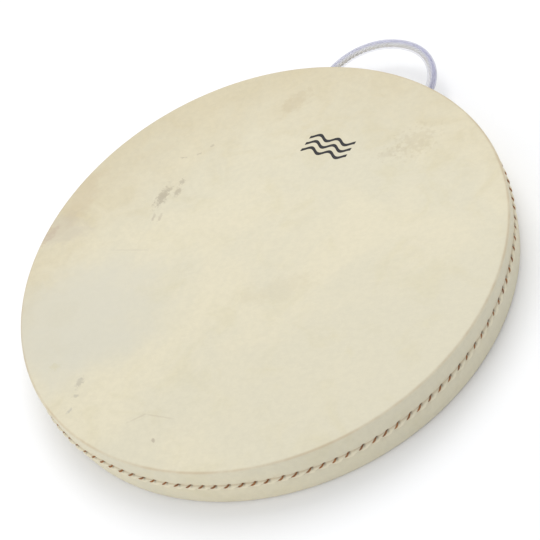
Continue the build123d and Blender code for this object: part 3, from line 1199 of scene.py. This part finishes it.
@dataclass
class RearHide(Hide):
    """The rear skin: it lies on the floor, comes up the wall and goes in under the front skin's lap."""

    holes: tuple[float, ...] = ()
    hole_height: float = 0.021
    hole_radius: float = 0.0029
    hole_depth: float = 0.0008
    hole_rim: float = 0.0004
    pulled_in: float = 0.0010
    tucked_out: float = 0.0004
    reach: float = 0.0006
    under_lap: float = 0.0022
    plain_wall: float = 0.0095

    def build(self) -> Piece:
        """Builds the skin ring by ring, from the middle of its face up the wall and back inside.

        Returns:
            The closed skin.
        """
        draft = MeshDraft()
        rings = self.face_and_bend(draft)
        rings += [self.wall_ring(draft, share) for share in np.linspace(0.0, 1.0, 19)[1:]]
        rings += [self.seam_ring(draft, share) for share in np.linspace(0.0, 1.0, 13)[1:]]
        rings += [self.tucked_ring(draft, share) for share in (0.5, 1.0)]
        rings += [self.lining_ring(draft, share) for share in (0.0, 0.3, 0.6, 0.9)]
        return self.closed(draft, rings, "rear_hide")

    def wall_ring(self, draft: MeshDraft, share: float) -> Array:
        """One ring of the plain wall, between the bend and the stretch that the stitches pull."""
        azimuth = self.columns(self.skirt_columns)
        start = self.sizes.fold
        height = start + (self.seam.middle(azimuth) - self.plain_wall - start) * share
        return self.outer_ring(draft, azimuth, height)

    def seam_ring(self, draft: MeshDraft, share: float) -> Array:
        """One ring of the stretch that the stitches pull, up to the front skin's cut edge."""
        azimuth = self.columns(self.lap_columns)
        start, end = self.seam.middle(azimuth) - self.plain_wall, self.top(azimuth)
        return self.outer_ring(draft, azimuth, start + (end - start) * share)

    def top(self, azimuth: Array) -> Array:
        """Where the skin goes under the front skin's cut edge, a little above that edge."""
        return self.seam.middle(azimuth) + self.seam.edge(azimuth) + self.reach

    def outer_ring(self, draft: MeshDraft, azimuth: Array, height: Array) -> Array:
        """A ring on the outside, drawn in under the lap and pulled into creases by the stitches."""
        above = height - self.seam.middle(azimuth)
        relief = self.seam.relief(azimuth, above)
        close = np.exp(-(((above - self.seam.edge(azimuth)) / 0.0016) ** 2))
        radius = self.sizes.radius + self.wall(azimuth, height) + 0.0006 * close
        radius = radius - self.pulled_in * relief["lower"] - self.entry(azimuth, height)
        # Painted shade under the front skin's cut edge and in the creases from the stitches. The hole field
        # paints shade along the stitch grooves and in the pits where the cord goes in.
        under_edge = smooth(above - self.seam.edge(azimuth), -0.0009, 0.0)
        crease = np.clip(0.50 * relief["lower"] + 0.75 * under_edge, 0.0, 1.0)
        hole = np.maximum(0.25 * relief["groove"], smooth(self.entry(azimuth, height), 0.0003, 0.0007))
        return self.paint(draft, on_cylinder(azimuth, radius, height), crease=crease, hole=hole)

    def entry(self, azimuth: Array, height: Array) -> Array:
        """How far the hide is pushed in where the cord goes through it, with a low rim round that."""
        total = np.zeros(np.broadcast(azimuth, height).shape)
        for centre in self.holes:
            apart = np.angle(np.exp(1j * (azimuth - centre))) * self.sizes.radius
            away = np.hypot(apart, height - self.hole_height)
            pushed = 1.0 - smooth(away, self.hole_radius - 0.0002, self.hole_radius + 0.0008)
            low_rim = np.exp(-(((away - self.hole_radius - 0.0016) / 0.0010) ** 2))
            total = total + self.hole_depth * pushed - self.hole_rim * low_rim
        return total

    def tucked_ring(self, draft: MeshDraft, share: float) -> Array:
        """A ring of the edge that is hidden under the lap."""
        azimuth = self.columns(self.skirt_columns)
        height = self.top(azimuth) + self.under_lap * share
        points = on_cylinder(azimuth, self.sizes.radius + self.tucked_out, height)
        # The edge hidden under the lap is painted in full crease shade.
        return self.paint(draft, points, crease=1.0)

    def lining_ring(self, draft: MeshDraft, share: float) -> Array:
        """A ring on the inside of the wall, against the hoop."""
        azimuth = self.columns(self.face_columns)
        start = self.top(azimuth) + self.under_lap
        height = start + (self.sizes.fold - start) * share
        return self.paint(draft, on_cylinder(azimuth, self.sizes.hoop_radius, height))


@dataclass
class SeamThread:
    """The sewing thread: one long coil round the lap, with a small knot where it ends."""

    sizes: DrumSizes
    seam: Seam
    radius: float = 0.0008
    pinched: float = 0.00042
    deep_in_hole: float = 1.4
    above_lap: float = 0.7
    sunk_at_edge: float = 1.7
    behind: float = 0.0009
    knot_out: float = 0.0011
    tail_spread: float = 0.0052
    tail_drop: float = 0.0034
    tail_in: float = 0.0006
    outer_steps: int = 11
    inner_steps: int = 4
    sides: int = 8
    knot_azimuth: float = radians(218.0)
    knot_size: float = 0.0011
    knot_thread: float = 0.00055

    def build(self) -> Piece:
        """Builds the coil.

        Returns:
            The thread.
        """
        draft = MeshDraft()
        azimuth, above, stand_out, radius = self.coil()
        points = on_cylinder(azimuth, self.sizes.radius + stand_out, self.seam.middle(azimuth) + above)
        add_tube(draft, Track.along(points, (0.03, 0.02, 1.0)), radius, self.sides)
        return draft.build("sewing_thread")

    def coil(self) -> tuple[Array, Array, Array, Array]:
        """The thread's middle line.

        Each stitch comes out of its hole, slants down over the lap to the cut edge and goes under
        it, and then slants up behind the hide to the next hole.

        Returns:
            The angle, the height above the seam's middle, the distance outside the wall and the
            thread's radius at each point, in order.
        """
        habits = self.seam.habits()
        stitch = np.arange(self.seam.stitches)[::-1, None]
        outer = np.linspace(0.0, 1.0, self.outer_steps)[None, :]
        inner = (np.arange(self.inner_steps)[None, :] + 1.0) / (self.inner_steps + 1.0)
        size = habits["size"][stitch]
        run, rise = self.seam.run * size, self.seam.rise * size + habits["lean"][stitch]
        along = habits["shift"][stitch] + run * (0.5 - outer)
        above = rise * (0.5 - outer)
        azimuth = stitch * TURN / self.seam.stitches + along / self.sizes.radius
        surface = self.seam.lap(azimuth, np.maximum(above, self.seam.edge(azimuth)))
        ride = smooth(outer, 0.0, 0.24) * (self.deep_in_hole + self.above_lap) - self.deep_in_hole
        sink = habits["sink"][stitch] * smooth(outer, 0.45, 1.0) * self.sunk_at_edge
        radius = self.radius + (self.pinched - self.radius) * smooth(outer, 0.35, 1.0)
        radius = np.broadcast_to(radius, azimuth.shape)
        stand_out = surface + self.radius * (ride - sink)
        start_azimuth, start_above, start_out = azimuth[:-1, -1:], above[:-1, -1:], stand_out[:-1, -1:]
        end_azimuth, end_above, end_out = azimuth[1:, :1], above[1:, :1], stand_out[1:, :1]
        back_azimuth = start_azimuth + (end_azimuth - start_azimuth) * inner
        back_above = start_above + (end_above - start_above) * inner
        back_out = start_out + (end_out - start_out) * inner - self.behind * np.sin(inner * pi)
        back_radius = np.broadcast_to(self.pinched + (self.radius - self.pinched) * inner, back_out.shape)
        parts = []
        for front, back in ((azimuth, back_azimuth), (above, back_above), (stand_out, back_out),
                            (radius, back_radius)):
            joined = np.concatenate([front[:-1], back], axis=1).ravel()
            parts.append(np.concatenate([joined, front[-1]]))
        return tuple(parts)

    def build_knot(self) -> Piece:
        """Builds the knot: a three-lobed knot line, pulled small, and two short tails.

        Returns:
            The knot.
        """
        spot = (round(self.knot_azimuth / TURN * self.seam.stitches) + 0.5) * TURN / self.seam.stitches
        outwards = np.array([cos(spot), sin(spot), 0.0])
        sideways = np.array([-sin(spot), cos(spot), 0.0])
        upwards = np.array([0.0, 0.0, 1.0])
        lap = float(self.seam.lap(np.array([spot]), np.array([0.0]))[0])
        height = float(self.seam.middle(spot))
        middle = outwards * (self.sizes.radius + lap + self.knot_out) + upwards * height
        turn = np.linspace(0.0, TURN, 60)
        lobes, sway = three_lobes(turn, self.knot_size, 1.6, 2.2)
        lift = -self.knot_size * 0.55 * np.sin(3.0 * turn)
        draft = MeshDraft()
        loop = middle + lobes[:, None] * sideways + sway[:, None] * upwards + lift[:, None] * outwards
        self.add_round_loop(draft, loop)
        share = np.linspace(0.0, 1.0, 10)[:, None]
        for side in (-1.0, 1.0):
            tail = middle + side * self.tail_spread * share * sideways
            tail = tail - self.tail_drop * share**1.6 * upwards - self.tail_in * share * outwards
            add_tube(draft, Track.along(tail, tuple(outwards)), np.full(10, 0.85 * self.knot_thread), 6)
        return draft.build("sewing_knot")

    def add_round_loop(self, draft: MeshDraft, points: Array) -> None:
        """Adds a closed tube round a loop of points whose last point repeats the first."""
        loop = points[:-1]
        ahead = unit(np.roll(loop, -1, axis=0) - np.roll(loop, 1, axis=0))
        inwards = unit(loop - loop.mean(axis=0))
        across = unit(np.cross(ahead, inwards))
        track = Track(loop, across, np.cross(across, ahead), ahead)
        width = np.full(len(loop), self.knot_thread)
        rings = [track.ring(np.full(len(loop), angle), width) for angle in np.arange(6) / 6.0 * TURN]
        numbers = draft.add(np.stack(rings, axis=1))
        draft.cover(numbers, track.lengths, joined=True)


@dataclass
class CarryingLoop:
    """The carrying loop: a twisted cord in a clear hose, knotted inside the hoop at both ends."""

    sizes: DrumSizes
    axis: Point
    span: float = 0.128
    tilt: float = radians(12.0)
    left_leg: tuple[tuple[float, float], ...] = (
        (0.0, 0.0), (0.0030, 0.014), (0.0102, 0.029), (0.0215, 0.0435), (0.037, 0.0545), (0.055, 0.0615))
    right_leg: tuple[tuple[float, float], ...] = (
        (-0.050, 0.0632), (-0.029, 0.0582), (-0.0125, 0.0460), (-0.0025, 0.0300), (0.0010, 0.015), (0.0, 0.0))
    hose_radius: float = 0.0050
    bore_radius: float = 0.0037
    cord_radius: float = 0.0025
    lay: float = 0.0150
    knot_radius: float = 0.0065
    knot_length: float = 0.0090
    knot_tube: float = 0.0021
    knot_gap: float = 0.0001
    first_step: float = 0.0060
    play: float = 0.0002
    point_step: float = 0.0009
    end_taper: float = 0.0012
    tail: float = 0.0040

    @property
    def outwards(self) -> Array:
        """The direction from the drum to the top of the loop."""
        return np.array([0.0, cos(self.tilt), sin(self.tilt)])

    @property
    def square(self) -> Array:
        """The direction square to the loop's plane."""
        return np.array([0.0, -sin(self.tilt), cos(self.tilt)])

    @property
    def azimuths(self) -> tuple[float, float]:
        """The angles round the drum of the two ends of the hose, the left one first."""
        right = atan2(self.axis[1], self.span / 2.0)
        return pi - right, right

    def route(self) -> Array:
        """The hose's route: sideways from the nearer end, and outwards in the loop's plane.

        Returns:
            The route's points.
        """
        sideways = [step - self.span / 2.0 for step, _ in self.left_leg]
        sideways += [step + self.span / 2.0 for step, _ in self.right_leg]
        out = np.array([reach for _, reach in self.left_leg + self.right_leg])
        across = np.outer(sideways, (1.0, 0.0, 0.0))
        return np.array(self.axis) + across + np.outer(out, self.outwards)

    def inside(self, azimuth: float, radius: float) -> Array:
        """A point of the cord on its way through the hoop."""
        return np.array([radius * cos(azimuth), radius * sin(azimuth), self.axis[2]])

    def build_hose(self) -> tuple[Piece, Array]:
        """Builds the hose: its outer circle carried along the line and its bore carried back.

        Returns:
            The hose and the points of its middle line.
        """
        points = spline_points("hose_route", self.route(), 14)
        track = Track.along(points, tuple(self.square))
        wall, middle = self.hose_radius - self.bore_radius, (self.hose_radius + self.bore_radius) / 2.0
        last = len(points) - 1
        rim = np.linspace(0.0, pi, 5)[1:-1]
        there, turned = np.arange(last + 1), len(rim)
        rows = np.concatenate([there, np.full(turned, last), there[::-1], np.zeros(turned, int)])
        radii = np.concatenate([np.full(last + 1, self.hose_radius), middle + wall / 2.0 * np.cos(rim),
                                np.full(last + 1, self.bore_radius), middle - wall / 2.0 * np.cos(rim)])
        slide = np.concatenate([np.zeros(last + 1), wall / 2.0 * np.sin(rim),
                                np.zeros(last + 1), -wall / 2.0 * np.sin(rim)])
        centres = track.points[rows] + slide[:, None] * track.ahead[rows]
        section = Track(centres, track.across[rows], track.upwards[rows], track.ahead[rows])
        angles = np.arange(32) / 32 * TURN
        rings = np.stack([section.ring(np.full(len(rows), angle), radii) for angle in angles], axis=1)
        draft = MeshDraft()
        draft.cover(draft.add(rings), track.lengths[rows], joined=True)
        return draft.build("hose"), points

    def build_cord(self) -> tuple[Piece, Array]:
        """Builds the cord: three round strands that wind about one line.

        The line runs from one knot through the hoop, along the hose, and back to the other knot.
        In the hose it lies against the inner side of the bend.

        Returns:
            The cord and the points of its middle line.
        """
        left, right = self.azimuths
        in_wall = self.sizes.hoop_radius - self.sizes.hoop_wall / 2.0
        radii = (self.cut_end, self.cut_end + self.first_step, in_wall)
        ends = [[self.inside(azimuth, radius) for radius in radii] for azimuth in (left, right)]
        points = spline_points("cord_route", np.concatenate([ends[0], self.route(), ends[1][::-1]]), 18)
        out = (points - np.array(self.axis)) @ self.outwards
        ahead = unit(np.gradient(points, axis=0))
        towards_middle = np.cross(ahead, self.square)
        slack = self.bore_radius - self.cord_radius - self.play
        points = points + (slack * smooth(out, 0.002, 0.020))[:, None] * towards_middle
        track = self.evenly(points, self.point_step)
        draft = MeshDraft()
        self.add_strands(draft, track)
        return draft.build("cord"), track.points

    @property
    def cut_end(self) -> float:
        """The distance from the drum's axis of the cord's cut ends."""
        return self.sizes.hoop_inside - self.knot_length - self.tail

    def evenly(self, points: Array, step: float) -> Track:
        """The same line with its points an equal distance apart."""
        lengths = np.concatenate([[0.0], np.cumsum(np.linalg.norm(np.diff(points, axis=0), axis=1))])
        places = np.linspace(0.0, lengths[-1], int(lengths[-1] / step) + 1)
        even = np.stack([np.interp(places, lengths, points[:, part]) for part in range(3)], axis=-1)
        return Track.along(even)

    def add_strands(self, draft: MeshDraft, track: Track) -> None:
        """Winds three strands round a track: each is a circle carried along a helix."""
        strand = self.cord_radius / (1.0 + 2.0 / np.sqrt(3.0))
        winding = strand * 2.0 / np.sqrt(3.0)
        for number in range(3):
            angle = TURN * (track.lengths / self.lay + number / 3.0)
            helix = track.ring(angle, np.full(len(angle), winding))
            outwards = unit(helix - track.points)
            ahead = unit(np.gradient(helix, axis=0))
            across = unit(outwards - np.einsum("ij,ij->i", outwards, ahead)[:, None] * ahead)
            own = Track(helix, across, np.cross(ahead, across), ahead)
            ends = np.minimum(track.lengths, track.lengths[-1] - track.lengths)
            radius = strand * (0.55 + 0.45 * smooth(ends, 0.0, self.end_taper))
            add_tube(draft, own, radius, 10)

    def build_knot(self, azimuth: float, name: str) -> Piece:
        """Builds a stopper knot: a three-lobed knot line of the same cord, pulled tight round the cord.

        Args:
            azimuth: The angle round the drum of the cord.
            name: The piece's name.

        Returns:
            The knot.
        """
        turn = np.linspace(0.0, TURN, 121)
        lobe, thick = self.knot_radius - self.knot_tube, self.knot_length / 2.0 - self.knot_tube
        sway, lift = three_lobes(turn, lobe, 2.0, 3.0)
        deep = -thick * np.sin(3.0 * turn)
        outwards = np.array([cos(azimuth), sin(azimuth), 0.0])
        sideways = np.array([-sin(azimuth), cos(azimuth), 0.0])
        centre = self.inside(azimuth, self.sizes.hoop_inside - self.knot_gap - self.knot_length / 2.0)
        loop = centre + sway[:, None] * sideways + lift[:, None] * np.array([0.0, 0.0, 1.0])
        loop = (loop + deep[:, None] * outwards)[:-1]
        ahead = unit(np.roll(loop, -1, axis=0) - np.roll(loop, 1, axis=0))
        across = unit(np.cross(ahead, unit(loop - centre)))
        track = Track(loop, across, np.cross(across, ahead), ahead)
        angles = np.arange(18) / 18 * TURN
        twist = 8.0 * turn[:-1]
        rings = []
        for angle in angles:
            ridge = np.abs(np.cos(1.5 * angle + twist / 2.0))
            rings.append(track.ring(np.full(len(loop), angle), self.knot_tube * (0.86 + 0.14 * ridge)))
        draft = MeshDraft()
        draft.cover(draft.add(np.stack(rings, axis=1)), track.lengths, joined=True)
        return draft.build(name)


# ---------------------------------------------------------------- putting it together


FRONT_STAINS = (
    Stain((-0.136, 0.035), (0.017, 0.0085), 1.62, (0.30, 0.25, 0.18), 0.52, 1.4, 300.0),
    Stain((-0.122, 0.044), (0.008, 0.0050), 1.70, (0.34, 0.29, 0.21), 0.50, 1.4, 340.0),
    Stain((-0.125, 0.057), (0.006, 0.0036), 1.80, (0.36, 0.31, 0.23), 0.50, 1.4, 340.0),
    Stain((-0.144, 0.088), (0.005, 0.0014), 0.31, (0.36, 0.31, 0.23), 0.50, 1.2, 340.0),
    Stain((-0.128, 0.097), (0.004, 0.0016), 0.85, (0.36, 0.31, 0.23), 0.42, 1.2, 340.0),
    Stain((-0.119, 0.111), (0.003, 0.0020), 1.55, (0.36, 0.31, 0.23), 0.42, 1.2, 340.0),
    Stain((-0.130, 0.007), (0.007, 0.0022), 1.80, (0.38, 0.32, 0.24), 0.42, 1.2, 340.0),
    Stain((-0.122, 0.007), (0.007, 0.0022), 1.80, (0.38, 0.32, 0.24), 0.36, 1.2, 340.0),
    Stain((-0.131, -0.039), (0.032, 0.0010), 0.25, (0.48, 0.43, 0.34), 0.30, 0.9, 120.0),
    Stain((0.101, 0.162), (0.026, 0.020), 0.97, (0.48, 0.41, 0.27), 0.30, 2.2, 190.0),
    Stain((0.082, 0.142), (0.018, 0.007), 0.80, (0.48, 0.42, 0.30), 0.26, 2.2, 190.0),
    Stain((-0.055, 0.190), (0.026, 0.014), 1.1, (0.46, 0.37, 0.22), 0.30, 1.4, 110.0),
    Stain((-0.238, -0.045), (0.016, 0.007), 1.5, (0.42, 0.27, 0.19), 0.30, 1.6, 240.0),
    Stain((-0.236, 0.010), (0.030, 0.050), 0.2, (0.52, 0.42, 0.27), 0.34, 0.9, 60.0),
    Stain((-0.226, -0.036), (0.034, 0.026), 0.4, (0.45, 0.40, 0.33), 0.30, 1.0, 70.0),
    Stain((-0.124, -0.185), (0.007, 0.006), 1.0, (0.52, 0.45, 0.18), 0.45, 1.2, 300.0),
    Stain((-0.086, -0.192), (0.008, 0.0050), 1.69, (0.34, 0.31, 0.25), 0.48, 1.2, 300.0),
    Stain((-0.081, -0.206), (0.0045, 0.0022), 0.62, (0.36, 0.33, 0.27), 0.45, 1.2, 300.0),
    Stain((-0.077, -0.222), (0.0050, 0.0020), 1.31, (0.38, 0.36, 0.31), 0.45, 1.2, 300.0),
    Stain((-0.005, -0.206), (0.011, 0.0011), 0.83, (0.45, 0.38, 0.28), 0.34, 1.0, 120.0),
    Stain((0.014, -0.198), (0.017, 0.0011), 0.16, (0.45, 0.38, 0.28), 0.34, 1.0, 120.0),
    Stain((0.024, -0.221), (0.0030, 0.0018), 2.65, (0.30, 0.24, 0.18), 0.50, 0.8, 300.0),
    Stain((0.056, -0.040), (0.050, 0.016), 0.6, (0.52, 0.46, 0.31), 0.22, 1.4, 90.0),
    Stain((-0.130, -0.125), (0.120, 0.090), 0.8, (0.585, 0.560, 0.460), 0.65, 0.5, 14.0),
)

REAR_STAINS = (
    Stain((0.070, 0.090), (0.040, 0.022), 0.7, (0.50, 0.40, 0.26), 0.40, 0.9, 60.0),
    Stain((-0.110, -0.060), (0.060, 0.035), 0.3, (0.60, 0.55, 0.44), 0.45, 0.7, 30.0),
    Stain((-0.040, 0.170), (0.014, 0.008), 1.0, (0.36, 0.29, 0.22), 0.45, 0.8, 200.0),
    Stain((0.150, -0.120), (0.020, 0.006), 0.5, (0.42, 0.34, 0.24), 0.35, 0.9, 180.0),
    Stain((0.020, -0.140), (0.050, 0.0012), 0.9, (0.46, 0.38, 0.28), 0.35, 0.9, 80.0),
)


@dataclass
class Workshop:
    """Dresses the pieces in order, makes them ride on their bodies and hides the nodes that they replace."""

    made: list[str] = field(default_factory=list)

    def hand_over(self, piece: Piece, material: bpy.types.Material, body: str, slot: str,
                  *nodes: str) -> Piece:
        """Dresses a piece, makes it ride on its body and hides the nodes that it replaces.

        Args:
            piece: The finished object.
            material: Its finish.
            body: The body that it moves with, or nothing if it rides on none.
            slot: The record's slot.
            nodes: The nodes that it replaces.

        Returns:
            The same piece.
        """
        piece.data.materials.append(material)
        if body:
            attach(piece, body)
        if nodes:
            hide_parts(*nodes)
        self.made.append(piece.name)
        log.info("%s: %d faces, slot %s", piece.name, len(piece.data.polygons), slot)
        return piece

    def dress_node(self, node: str, material: bpy.types.Material) -> None:
        """Gives a carried-over piece its finish."""
        kept = frame["nodes"][node]
        if not kept.data.materials:
            kept.data.materials.append(material)
        for place in kept.material_slots:
            place.material = material
        log.info("%s: kept as it is, with finish %s", node, material.name)


def build_loop(workshop: Workshop, sizes: DrumSizes) -> CarryingLoop:
    """Builds the carrying loop: its hose, its cord and its two knots.

    Args:
        workshop: Where the pieces are handed over.
        sizes: The drum's sizes.

    Returns:
        The loop.
    """
    swing = next(joint for joint in frame["joints"] if joint["name"] == "loop_swing")
    loop = CarryingLoop(sizes, tuple(swing["pos_m"]))
    hose, hose_line = loop.build_hose()
    workshop.hand_over(hose, HoseFinish().dress(), "carrying_loop", "clear_hose", "handle_hose")
    cord_finish = CordFinish().dress()
    cord, cord_line = loop.build_cord()
    workshop.hand_over(cord, cord_finish, "", "white_cord", "handle_cord", "cord_end_left", "cord_end_right")
    for side, azimuth in zip(("left", "right"), loop.azimuths):
        knot = loop.build_knot(azimuth, "stopper_knot_" + side)
        workshop.hand_over(knot, cord_finish, "drum", "white_cord", "cord_knot_" + side)
    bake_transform(cord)
    left = loop.azimuths[0]
    tuple(loop.inside(left, sizes.radius))
    tuple(hose_line[0])
    return loop


def build_hides(workshop: Workshop, sizes: DrumSizes, seam: Seam, loop: CarryingLoop) -> None:
    """Args:
        workshop: Where the pieces are handed over.
        sizes: The drum's sizes.
        seam: The seam between them.
        loop: The carrying loop, whose cord goes through the rear skin.
    """
    front = FrontHide(sizes, seam, seed=5).build()
    front_finish = HideFinish("front_hide", sizes.depth, FRONT_STAINS, marked=True)
    workshop.hand_over(front, front_finish.dress(), "drum", "hide", "front_head")
    rear = RearHide(sizes, seam, seed=8, holes=loop.azimuths, hole_height=loop.axis[2]).build()
    rear_finish = HideFinish("rear_hide", 0.0, REAR_STAINS)
    workshop.hand_over(rear, rear_finish.dress(), "drum", "hide", "rear_head")


def build_sewing(workshop: Workshop, sizes: DrumSizes, seam: Seam) -> None:
    """Builds the thread and its knot.

    Args:
        workshop: Where the pieces are handed over.
        sizes: The drum's sizes.
        seam: The seam that they sew.
    """
    sewing, finish = SeamThread(sizes, seam), ThreadFinish().dress()
    workshop.hand_over(sewing.build(), finish, "drum", "seam_thread", "seam_thread")
    workshop.hand_over(sewing.build_knot(), finish, "drum", "seam_thread", "seam_finish_knot")


def main() -> None:
    """Builds the studio and the drum."""
    logging.basicConfig(level=logging.INFO, format="%(name)s: %(message)s")
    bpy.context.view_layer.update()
    Studio().build()
    workshop = Workshop()
    sizes = DrumSizes.measured()
    seam = Seam(sizes.radius)
    loop = build_loop(workshop, sizes)
    build_hides(workshop, sizes, seam, loop)
    build_sewing(workshop, sizes, seam)
    workshop.dress_node("hoop", BentwoodFinish().dress())
    workshop.dress_node("scarf_tacks", SteelFinish("tack_steel").dress())
    shot_steel = SteelFinish("shot_steel", bright=(0.60, 0.60, 0.61), tarnish=0.35).dress()
    for node in ("shot_inner", "shot_middle", "shot_outer"):
        workshop.dress_node(node, shot_steel)
    log.info("%d new pieces", len(workshop.made))


if __name__ == "__main__":
    main()
